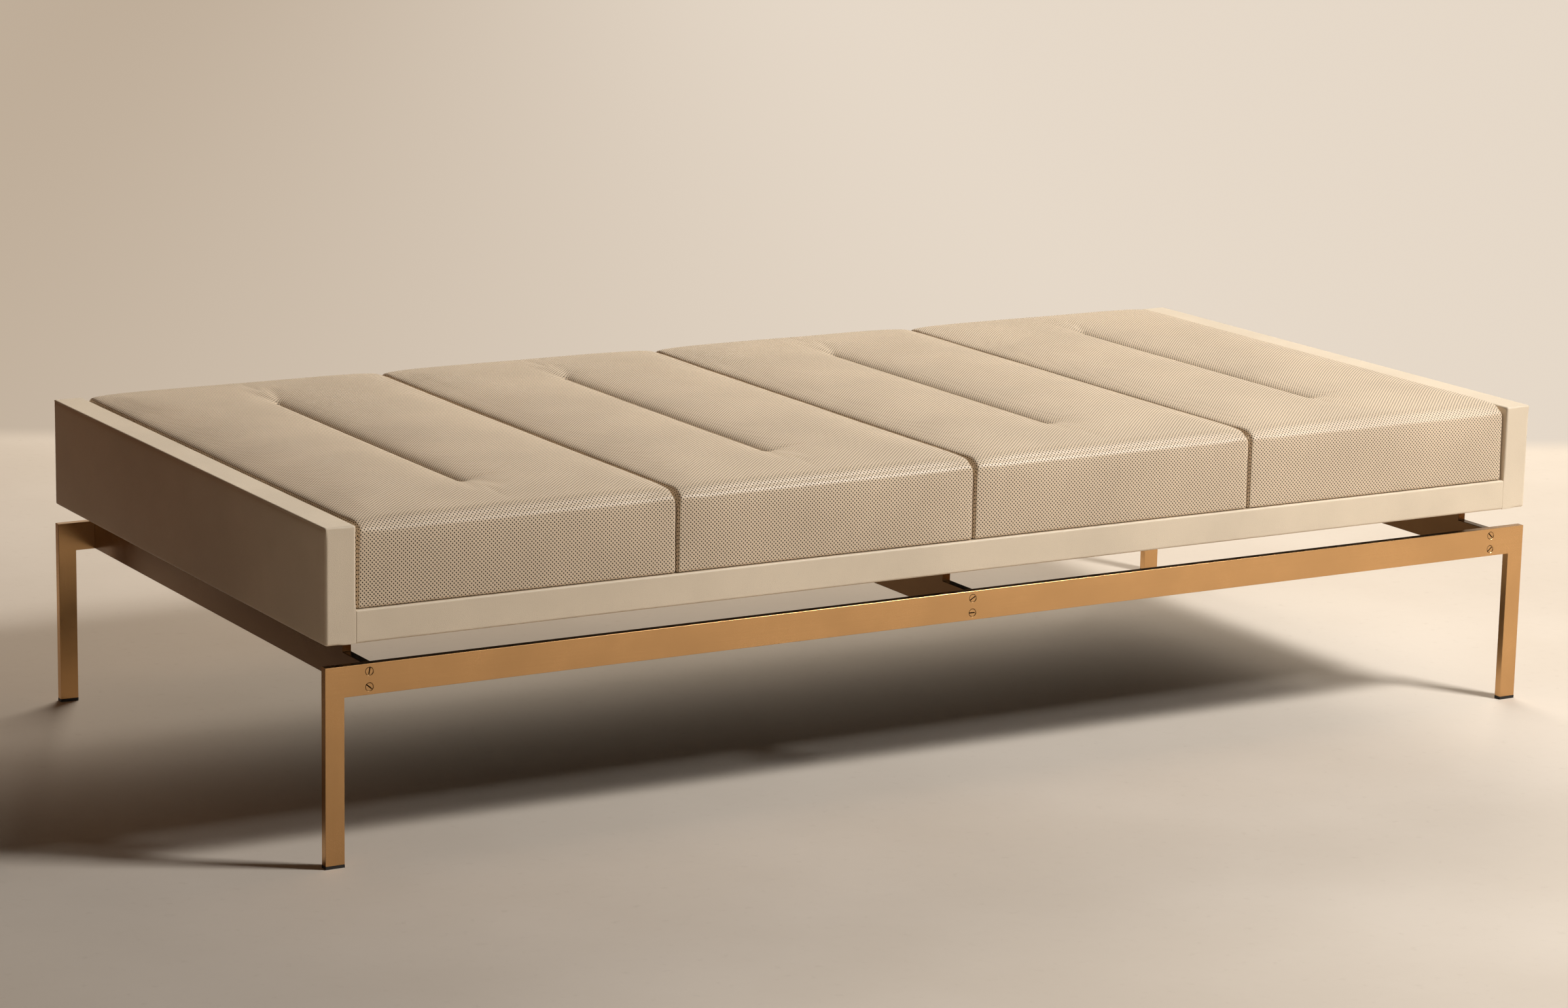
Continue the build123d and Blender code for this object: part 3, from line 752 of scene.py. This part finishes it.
def crease(x, y, start, angle, length, depth, half_breadth):
    """A shallow fold in the leather that runs from a point and fades out; angle is counted from +X."""
    ahead = (math.cos(angle), math.sin(angle))
    along = (x - start[0]) * ahead[0] + (y - start[1]) * ahead[1]
    across = (y - start[1]) * ahead[0] - (x - start[0]) * ahead[1]
    spread = half_breadth * (0.6 + 0.4 * np.clip(along / length, 0.0, 1.0))
    fading = soft_step(along, -0.15 * length, 0.05 * length) * (1 - soft_step(along, 0.2 * length, length))
    return depth * fading * np.exp(-(across / spread) ** 2)


def cushion(name, end_side, seed):
    """One cushion in its place, with its own creases; end_side is -1 or 1 beside a raised end, else 0."""
    body = f"{name}_cushion"
    low, high = (np.array(corner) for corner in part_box(f"{body}_cover"))
    placed = sewn_shape + swelling
    x, y, z = sharp_points.T
    at_corner = on_sides & np.isclose(np.abs(y), half_depth) & (z <= boxing_top) & (z > 0)
    at_boxing = on_sides & np.isclose(z, boxing_top)
    placed[at_corner, :2] -= np.sign(sharp_points[at_corner, :2]) * corner_groove
    beside_end = np.clip(end_side * x / half_width, 0.0, 1.0) ** 8
    beside_end *= np.exp(-(half_depth - np.abs(y)) / corner_gap_reach)
    placed[:, 0] -= end_side * corner_gap * mixed(corner_gap_below, 1.0, z / edge_height) * beside_end
    placed[at_boxing, 0] -= np.sign(x[at_boxing]) * seam_groove
    in_opening = (np.abs(x) < opening_half_width - opening_margin) & (z == 0)
    in_opening &= np.abs(y) < opening_half_depth - opening_margin
    placed[in_opening, 2] += opening_rise
    unevenness = broad_unevenness * ripples(placed, (90 * mm, 150 * mm, 90 * mm), seed)
    unevenness += fine_unevenness * ripples(placed, (24 * mm, 60 * mm, 40 * mm), seed + 9)
    sway = most_sway * math.sin(2.4 * seed)
    folds = np.zeros(len(x))
    for end, degrees, way, length, depth, half_breadth in channel_creases:
        start = (0.0, end * channel_half_length)
        folds += crease(x, y, start, math.radians(degrees) + way * sway, length, depth, half_breadth)
    placed[:, 2] += (unevenness - folds) * soft_step(z, 0.9 * edge_height, edge_height)
    limit = half_width - side_room
    placed[:, 0] = np.clip(placed[:, 0], -limit, limit)
    centre = (low + high) / 2
    placed += (centre[0], centre[1], low[2])
    piece = mesh_piece(f"{body}_leather", placed, cushion_quads, finishes["perforated_leather"], cushion_uv)
    subdivide(piece)
    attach(piece, body)
    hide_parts(f"{body}_cover", f"{body}_foam", f"{body}_pull_strip")


for order, (cushion_name, cushion_end) in enumerate(zip(cushion_names, cushion_ends)):
    cushion(cushion_name, cushion_end, order + 1)


# Sheets of cloth: the linings under the cushions and the dust cloth under the tray

lining_step = 9 * mm
lining_unevenness = 0.15 * mm
dust_step = 14 * mm
dust_hang = 2.5 * mm
hang_reach = 220 * mm


def sheet_points(low, high, step):
    """A flat grid that fills a box in plan, halfway up it, with its quads facing down."""
    counts = np.ceil((high - low)[:2] / step).astype(int) + 1
    xs = np.linspace(low[0], high[0], counts[0])
    ys = np.linspace(low[1], high[1], counts[1])
    points = np.stack(np.meshgrid(xs, ys, [(low[2] + high[2]) / 2], indexing="ij"), axis=-1).reshape(-1, 3)
    number = np.arange(len(points)).reshape(counts)
    corners = [number[:-1, :-1], number[:-1, 1:], number[1:, 1:], number[1:, :-1]]
    return points, np.stack(corners, axis=-1).reshape(-1, 4)


def cloth_piece(name, points, quads, slot, body, node):
    """A stretched sheet that stands for a CAD node."""
    piece = mesh_piece(name, points, quads, finishes[slot])
    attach(piece, body)
    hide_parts(node)


def lining(name, seed):
    """The cloth stretched under a cushion's board."""
    node = f"{name}_cushion_lining"
    low, high = (np.array(corner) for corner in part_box(node))
    points, quads = sheet_points(low, high, lining_step)
    points[:, 2] += lining_unevenness * ripples(points, (60 * mm, 60 * mm, 60 * mm), seed)
    cloth_piece(f"{name}_lining_cloth", points, quads, "lining_cloth", f"{name}_cushion", node)


def dust_cloth():
    """The cloth stapled under the tray; it hangs a little between its edges and the cross plates."""
    low, high = (np.array(corner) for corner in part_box("dust_cloth"))
    points, quads = sheet_points(low, high, dust_step)
    x, y = points[:, 0], points[:, 1]
    free = np.minimum(x - low[0], high[0] - x)
    for place in plate_places:
        plate_low, plate_high = (corner[0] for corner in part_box(f"{place}_cross_plate"))
        free = np.minimum(free, np.maximum(np.maximum(plate_low - x, x - plate_high), 0.0))
    free_y = np.minimum(y - low[1], high[1] - y)
    hang = soft_step(free, 0.0, hang_reach) * soft_step(free_y, 0.0, hang_reach)
    points[:, 2] -= dust_hang * hang * (1 + 0.3 * ripples(points, (120 * mm, 120 * mm, 120 * mm), 4))
    cloth_piece("dust_cloth_sheet", points, quads, "dust_cloth", "base", "dust_cloth")


for order, cushion_name in enumerate(cushion_names):
    lining(cushion_name, order + 1)
dust_cloth()


# Stage: a pale floor and backdrop, a dark card past the left end, two soft lamps and a dim warm room

floor_size = 60.0
floor_dark = (0.68, 0.60, 0.51, 1.0)
floor_pale = (0.74, 0.66, 0.57, 1.0)
speck_colour = (0.55, 0.47, 0.39, 1.0)
backdrop_away = 1.884
backdrop_facing = (0.4535, 0.891)
backdrop_blur = 0.08
backdrop_lit = (0.79, 0.69, 0.58, 1.0)
backdrop_shaded = (0.52, 0.42, 0.32, 1.0)
backdrop_shaded_to = -2.0
backdrop_lit_from = 1.0
floor_fades_from = 3.2
floor_faded_from = 4.6
card_x = -1.3
card_front = -0.3
card_back = 2.4
card_height = 1.6
card_dark = (0.065, 0.034, 0.019, 1.0)
card_pale = (0.085, 0.045, 0.025, 1.0)


def floor():
    """A floor that turns into a pale backdrop past a line behind the daybed, and far away on all sides."""
    corners = np.array([(-1, -1, 0), (1, -1, 0), (1, 1, 0), (-1, 1, 0)]) * floor_size / 2
    made = Finish("pale_floor", specular=0.2)
    space = made.place.outputs["Object"]
    clouds = made.noise(space, 1.6, 5.0)
    specks = made.noise(space, 60.0, 4.0)
    tone = made.blend(made.ramp(clouds, 0.3, 0.7), floor_dark, floor_pale)
    tone = made.blend(made.ramp(specks, 0.6, 0.8, 0.0, 0.25), tone, speck_colour)
    gloss = made.ramp(specks, 0.2, 0.8, 0.7, 0.85)
    made.finish(tone, gloss, made.bump(specks, 0.5 * mm, 0.3))
    path = made.nodes.new("ShaderNodeLightPath")
    seen = made.math("MAXIMUM", path.outputs["Is Camera Ray"], path.outputs["Is Glossy Ray"])
    seen = made.math("MAXIMUM", seen, path.outputs["Is Transmission Ray"])
    x, y, _ = made.axes(space)
    facing_x, facing_y = backdrop_facing
    beyond = made.math("ADD", made.math("MULTIPLY", x, facing_x), made.math("MULTIPLY", y, facing_y))
    along = made.math("SUBTRACT", made.math("MULTIPLY", x, facing_y), made.math("MULTIPLY", y, facing_x))
    behind = made.ramp(beyond, backdrop_away - backdrop_blur, backdrop_away + backdrop_blur)
    far = made.ramp(made.length(x, y), floor_fades_from, floor_faded_from)
    glow = made.nodes.new("ShaderNodeEmission")
    shaded_side = made.ramp(along, backdrop_shaded_to, backdrop_lit_from, 1.0, 0.0)
    made.links.new(made.blend(shaded_side, backdrop_lit, backdrop_shaded), glow.inputs["Color"])
    mixing = made.nodes.new("ShaderNodeMixShader")
    made.links.new(made.math("MULTIPLY", made.math("MAXIMUM", behind, far), seen), mixing.inputs[0])
    made.links.new(made.shader.outputs[0], mixing.inputs[1])
    made.links.new(glow.outputs[0], mixing.inputs[2])
    made.links.new(mixing.outputs[0], made.nodes["Material Output"].inputs["Surface"])
    piece = mesh_piece("floor", corners, np.array([[0, 1, 2, 3]]), made.material)


def dark_card():
    """A card that dims bounced light and reflections; lamps shine through it, the camera never sees it."""
    outline = ((card_front, 0.0), (card_back, 0.0), (card_back, card_height), (card_front, card_height))
    corners = np.array([(card_x, y, z) for y, z in outline])
    made = Finish("dark_card", specular=0.1)
    weave = made.noise(made.place.outputs["Object"], 300.0, 3.0)
    tone = made.blend(made.ramp(weave, 0.3, 0.7), card_dark, card_pale)
    made.finish(tone, made.ramp(weave, 0.2, 0.8, 0.8, 0.95), made.bump(weave, 0.3 * mm, 0.4))
    piece = mesh_piece("dark_card", corners, np.array([[0, 1, 2, 3]]), made.material)
    piece.visible_camera = False
    piece.visible_shadow = False


def lamp(name, place, target, width, height, power, colour, mirrored_in_gloss):
    """A soft rectangular lamp aimed at a target; the camera never sees it, reflections only if asked."""
    light = bpy.data.lights.new(name, "AREA")
    light.shape = "RECTANGLE"
    light.size = width
    light.size_y = height
    light.energy = power
    light.color = colour
    item = bpy.data.objects.new(name, light)
    item.location = place
    item.rotation_euler = (Vector(target) - Vector(place)).to_track_quat("-Z", "Y").to_euler()
    item.visible_camera = False
    item.visible_glossy = mirrored_in_gloss
    scene.collection.objects.link(item)


ambient_colour = (1.0, 0.56, 0.28, 1.0)
ambient_strength = 0.045
dim_wall = (0.12, 0.08, 0.05, 1.0)
lit_wall = (0.78, 0.69, 0.57, 1.0)
wall_dim_to = -0.9
wall_lit_from = 0.5
reflected_level = 0.8


def room():
    """Dim warm light from all round; the camera sees a pale wall instead, and reflections a dimmer one."""
    world = bpy.data.worlds.new("room")
    world.use_nodes = True
    nodes = world.node_tree.nodes
    links = world.node_tree.links
    ambient = nodes["Background"]
    ambient.inputs["Color"].default_value = ambient_colour
    ambient.inputs["Strength"].default_value = ambient_strength
    backdrop = nodes.new("ShaderNodeBackground")
    towards = nodes.new("ShaderNodeTexCoord")
    side = nodes.new("ShaderNodeSeparateXYZ")
    links.new(towards.outputs["Generated"], side.inputs[0])
    across = nodes.new("ShaderNodeMapRange")
    across.interpolation_type = "SMOOTHSTEP"
    across.inputs["From Min"].default_value = wall_dim_to
    across.inputs["From Max"].default_value = wall_lit_from
    links.new(side.outputs[0], across.inputs["Value"])
    wall = nodes.new("ShaderNodeMix")
    wall.data_type = "RGBA"
    links.new(across.outputs[0], wall.inputs[0])
    wall.inputs[6].default_value = dim_wall
    wall.inputs[7].default_value = lit_wall
    links.new(wall.outputs[2], backdrop.inputs["Color"])
    path = nodes.new("ShaderNodeLightPath")
    seen = path.outputs["Is Camera Ray"]
    level = nodes.new("ShaderNodeMapRange")
    links.new(seen, level.inputs["Value"])
    level.inputs["To Min"].default_value = reflected_level
    links.new(level.outputs[0], backdrop.inputs["Strength"])
    for kind in ("Is Glossy Ray", "Is Transmission Ray"):
        either = nodes.new("ShaderNodeMath")
        either.operation = "MAXIMUM"
        links.new(seen, either.inputs[0])
        links.new(path.outputs[kind], either.inputs[1])
        seen = either.outputs[0]
    mixing = nodes.new("ShaderNodeMixShader")
    links.new(seen, mixing.inputs[0])
    links.new(ambient.outputs[0], mixing.inputs[1])
    links.new(backdrop.outputs[0], mixing.inputs[2])
    links.new(mixing.outputs[0], nodes["World Output"].inputs["Surface"])
    scene.world = world


floor()
dark_card()
lamp("key", place=(1.9, -2.3, 2.9), target=(0.0, 0.0, 0.3), width=0.7, height=0.7,
     power=140.0, colour=(1.0, 0.99, 0.97), mirrored_in_gloss=True)
lamp("lit_backdrop", place=(2.3, 3.4, 2.3), target=(0.4, 0.0, 0.4), width=3.4, height=1.8,
     power=215.0, colour=(0.94, 0.88, 0.79), mirrored_in_gloss=False)
room()
scene.view_settings.view_transform = "Standard"


# Camera: place, direction and lens solved from points of the frame and the tray in the photograph

camera_place = (-3.0919, -5.1788, 1.5994)
camera_turn = 30.618
camera_tilt = 12.270
camera_roll = 1.155
camera_lens = 99.11
camera_sensor = 36.0


def photo_camera():
    """A camera turned to the right of +Y, tilted down and rolled a little; angles are in degrees."""
    turn, tilt, roll = (math.radians(angle) for angle in (camera_turn, camera_tilt, camera_roll))
    ahead = Vector((math.cos(tilt) * math.sin(turn), math.cos(tilt) * math.cos(turn), -math.sin(tilt)))
    level = Vector((math.cos(turn), -math.sin(turn), 0.0))
    upright = level.cross(ahead)
    right = math.cos(roll) * level + math.sin(roll) * upright
    above = math.cos(roll) * upright - math.sin(roll) * level
    data = bpy.data.cameras.new("photo")
    data.sensor_width = camera_sensor
    data.lens = camera_lens
    item = bpy.data.objects.new("photo", data)
    facing = Matrix((right, above, -ahead)).transposed().to_4x4()
    item.matrix_world = Matrix.Translation(camera_place) @ facing
    scene.collection.objects.link(item)
    scene.camera = item


photo_camera()
